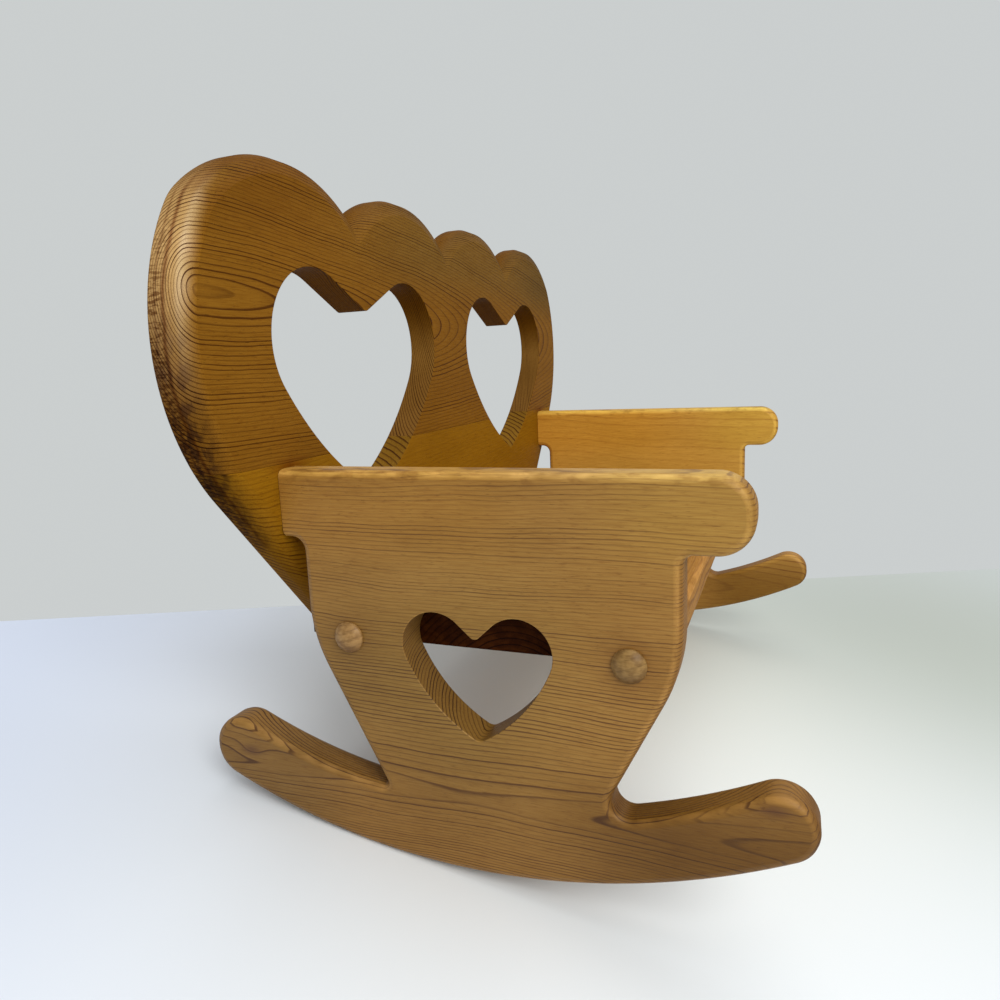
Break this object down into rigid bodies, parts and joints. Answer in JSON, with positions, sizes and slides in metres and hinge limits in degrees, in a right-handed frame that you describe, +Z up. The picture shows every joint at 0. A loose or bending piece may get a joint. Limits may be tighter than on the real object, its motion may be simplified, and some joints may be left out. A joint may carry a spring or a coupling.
{
  "type": "rocking bench",
  "caption": "Small wooden rocking bench with scrolled end panels cut in one with arms and rockers, heart cut-outs in the ends and a scalloped back with large heart cut-outs.",
  "frame": {"origin": "on the floor plane, midway between the end panels and midway between the front tips of the rockers and the rearmost point of the back", "axes": "+X along the bench, +Y from the front towards the back board, +Z up; the bench leans back 8.9 degrees about X, as it stands unloaded on its rockers"},
  "size_m": [0.547, 0.3214, 0.3454],
  "materials": {
    "pine": "satin honey-brown finish on coarse-grained softwood",
    "pine_dark": "satin finish on a darker board of the same softwood",
    "birch_plug": "satin, turned plug",
    "screw_steel": "plain zinc-coated steel"
  },
  "bodies": {
    "root": {"left_end_panel": "pine", "right_end_panel": "pine", "seat_board": "pine", "back_upper_board": "pine_dark", "back_lower_board": "pine", "left_rear_seat_screw": "screw_steel", "left_front_seat_screw": "screw_steel", "right_rear_seat_screw": "screw_steel", "right_front_seat_screw": "screw_steel", "left_rear_seat_plug": "birch_plug", "left_front_seat_plug": "birch_plug", "right_rear_seat_plug": "birch_plug", "right_front_seat_plug": "birch_plug", "back_left_seat_screw": "screw_steel", "back_centre_seat_screw": "screw_steel", "back_right_seat_screw": "screw_steel", "back_left_arm_screw": "screw_steel", "back_right_arm_screw": "screw_steel", "back_left_seat_plug": "birch_plug", "back_centre_seat_plug": "birch_plug", "back_right_seat_plug": "birch_plug", "back_left_arm_plug": "birch_plug", "back_right_arm_plug": "birch_plug"}
  },
  "joints": []
}
